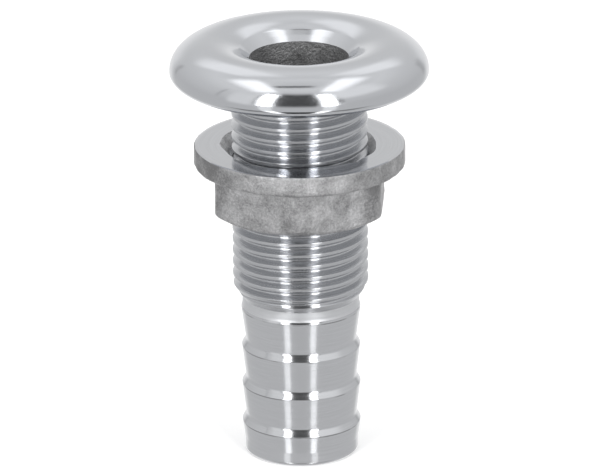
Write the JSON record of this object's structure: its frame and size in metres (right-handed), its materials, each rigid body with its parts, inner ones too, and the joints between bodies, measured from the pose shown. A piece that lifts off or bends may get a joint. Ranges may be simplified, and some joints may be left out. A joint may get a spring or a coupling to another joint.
{
  "type": "thru hull fitting",
  "caption": "Thru hull fitting: polished mushroom head, threaded shank with a flanged hexagon lock nut, and a barbed hose tail around a straight waterway.",
  "frame": {"origin": "centre of the hose end, at the bottom of the fitting", "axes": "+Z along the waterway from the hose end to the head; an upright edge of the nut's hexagon faces 3.3 degrees to the -X side of -Y"},
  "size_m": [0.039, 0.039, 0.0654],
  "materials": {
    "polished_steel": "polished head, lathe-turned thread and tail",
    "cast_steel": "rough investment casting with a machined top face"
  },
  "bodies": {
    "fitting": {"fitting_body": "polished_steel"},
    "nut_ring": {"nut_flange": "cast_steel"},
    "nut": {"nut_collar": "cast_steel"}
  },
  "joints": [
    {"name": "nut_travel", "type": "slide", "parent": "fitting", "child": "nut_ring", "axis": [0, 0, 1], "range_m": [-0.02178, 0.00908]},
    {"name": "nut_spin", "type": "hinge", "parent": "nut_ring", "child": "nut", "pos_m": [0, 0, 0.04375], "axis": [0, 0, 1], "range_deg": [-4320, 1800]}
  ],
  "couplings": [
    {"joint": "nut_travel", "follows": "nut_spin", "m_per_rad": 0.00028875}
  ]
}
